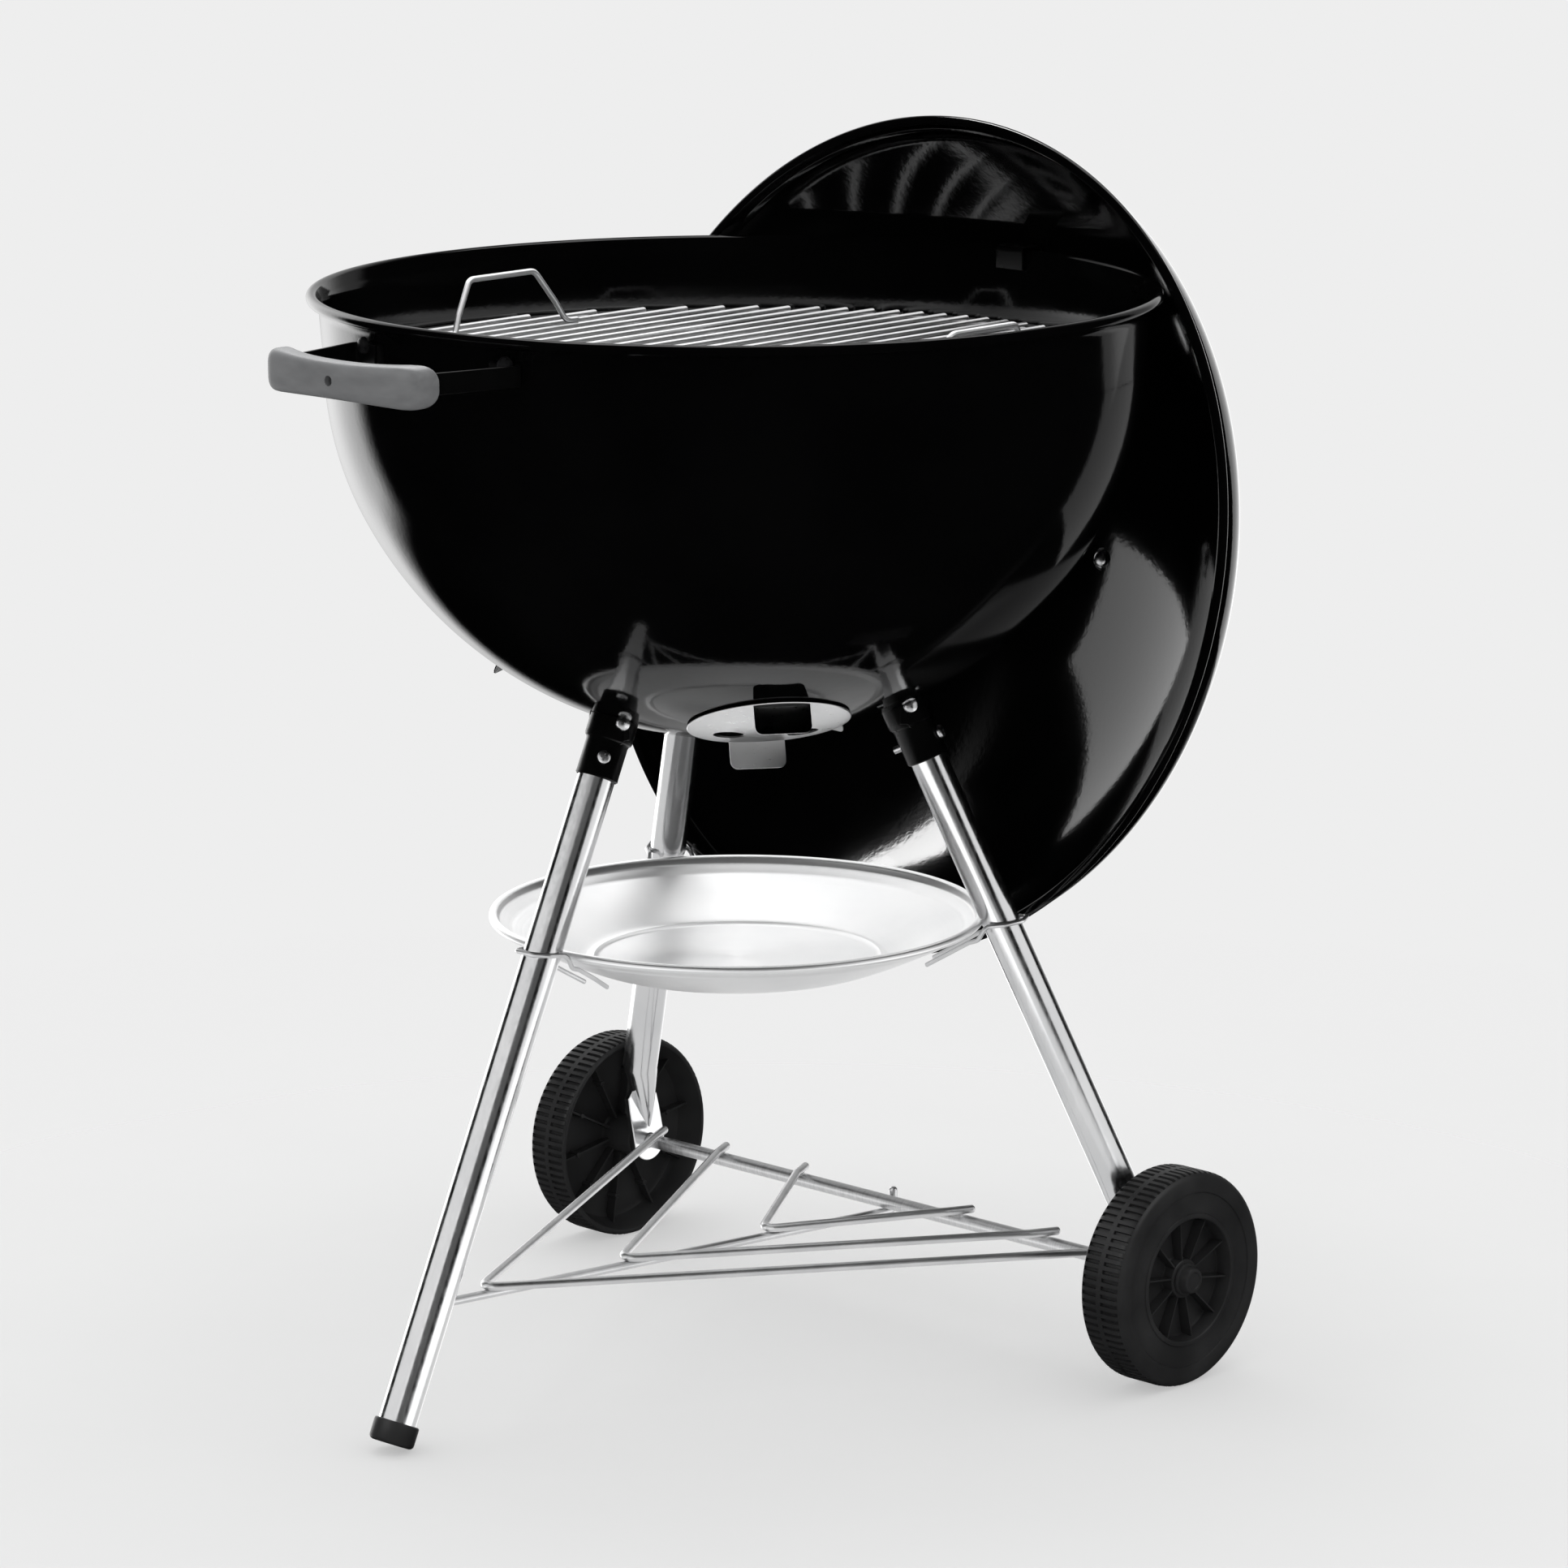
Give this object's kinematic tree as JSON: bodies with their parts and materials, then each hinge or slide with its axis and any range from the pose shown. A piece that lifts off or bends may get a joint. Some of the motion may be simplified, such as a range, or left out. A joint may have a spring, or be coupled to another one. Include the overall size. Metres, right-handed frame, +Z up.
{
  "type": "kettle charcoal grill",
  "caption": "Kettle charcoal grill on three legs with two wheels, bowl dampers, ash dish, wire rack, lift-out grates and a domed lid hung on the rim.",
  "frame": {"origin": "middle of the bounding box, on the floor", "axes": "+X from the bowl handle and foot leg towards the hung lid, +Y along the wheel axle, +Z up"},
  "size_m": [0.7594, 0.5864, 0.8401],
  "materials": {
    "enamel": "glossy black porcelain enamel",
    "black_steel": "satin black coated steel",
    "plated_tube": "bright plated steel tube",
    "aluminium": "satin pressed aluminium",
    "wire": "nickel plated steel wire",
    "fastener": "zinc plated steel",
    "axle_steel": "zinc plated steel rod",
    "wheel_plastic": "black moulded plastic",
    "grip_plastic": "grey moulded glass-reinforced plastic"
  },
  "bodies": {
    "stand": {"bowl": "enamel", "bowl_damper_rivet_1": "fastener", "bowl_damper_rivet_2": "fastener", "bowl_damper_rivet_3": "fastener", "leg_socket_foot": "black_steel", "leg_socket_wheel_left": "black_steel", "leg_socket_wheel_right": "black_steel", "leg_bolt_foot": "fastener", "leg_bolt_wheel_left": "fastener", "leg_bolt_wheel_right": "fastener", "leg_foot": "plated_tube", "leg_wheel_left": "plated_tube", "leg_wheel_right": "plated_tube", "foot_cap": "wheel_plastic", "axle": "axle_steel", "hub_cap_left": "wheel_plastic", "hub_cap_right": "wheel_plastic", "rack_spine": "wire", "rack_wire_outer": "wire", "rack_wire_middle": "wire", "rack_wire_inner": "wire", "ash_dish": "aluminium", "dish_clip_foot": "wire", "dish_clip_wheel_left": "wire", "dish_clip_wheel_right": "wire", "cooking_grate_bracket_1": "black_steel", "cooking_grate_bracket_2": "black_steel", "cooking_grate_bracket_3": "black_steel", "charcoal_grate_bracket_1": "black_steel", "charcoal_grate_bracket_2": "black_steel", "charcoal_grate_bracket_3": "black_steel", "bowl_handle": "grip_plastic", "bowl_handle_screw": "fastener", "bowl_handle_bracket": "black_steel", "bracket_screw_left": "fastener", "bracket_screw_right": "fastener"},
    "left_wheel": {"wheel_left": "wheel_plastic"},
    "right_wheel": {"wheel_right": "wheel_plastic"},
    "vent_1": {"bowl_damper_1": "aluminium"},
    "vent_2": {"bowl_damper_2": "aluminium"},
    "vent_3": {"bowl_damper_3": "aluminium"},
    "cooking_grate_set": {"cooking_grate": "wire", "grate_handle_left": "wire", "grate_handle_right": "wire"},
    "charcoal_grate_set": {"charcoal_grate": "black_steel"},
    "lid_set": {"lid": "enamel", "lid_damper_rivet": "fastener", "lid_hook": "black_steel", "hook_rivet_1": "fastener", "hook_rivet_2": "fastener", "lid_handle": "grip_plastic", "lid_handle_screw": "fastener", "lid_handle_bracket": "black_steel", "lid_heat_shield": "plated_tube", "lid_handle_bolt_left": "fastener", "lid_handle_bolt_right": "fastener"},
    "lid_vent": {"lid_damper": "aluminium"}
  },
  "joints": [
    {"name": "left_wheel_spin", "type": "hinge", "parent": "stand", "child": "left_wheel", "pos_m": [0.13431, 0.2688, 0.0747], "axis": [0, 1, 0], "continuous": true},
    {"name": "right_wheel_spin", "type": "hinge", "parent": "stand", "child": "right_wheel", "pos_m": [0.13431, -0.2688, 0.0747], "axis": [0, 1, 0], "continuous": true},
    {"name": "bowl_damper_1_turn", "type": "hinge", "parent": "stand", "child": "vent_1", "pos_m": [-0.08134, -0.09804, 0.46363], "axis": [-0.2424, -0.3462, -0.9063], "range_deg": [-60, 60]},
    {"name": "bowl_damper_2_turn", "type": "hinge", "parent": "stand", "child": "vent_2", "pos_m": [0.10654, -0.01043, 0.46363], "axis": [0.421, -0.0368, -0.9063], "range_deg": [-60, 60]},
    {"name": "bowl_damper_3_turn", "type": "hinge", "parent": "stand", "child": "vent_3", "pos_m": [-0.06327, 0.10847, 0.46363], "axis": [-0.1786, 0.383, -0.9063], "range_deg": [-60, 60]},
    {"name": "cooking_grate_lift", "type": "slide", "parent": "stand", "child": "cooking_grate_set", "axis": [0, 0, 1], "range_m": [0, 0.05]},
    {"name": "charcoal_grate_lift", "type": "slide", "parent": "stand", "child": "charcoal_grate_set", "axis": [0, 0, 1], "range_m": [0, 0.09]},
    {"name": "lid_swing", "type": "hinge", "parent": "stand", "child": "lid_set", "pos_m": [-0.01269, 0, 0.742], "axis": [0, -1, 0], "range_deg": [0, 60]},
    {"name": "lid_damper_turn", "type": "hinge", "parent": "lid_set", "child": "lid_vent", "pos_m": [0.31311, 0, 0.64582], "axis": [0.985, 0, 0.1727], "range_deg": [-60, 60]}
  ]
}
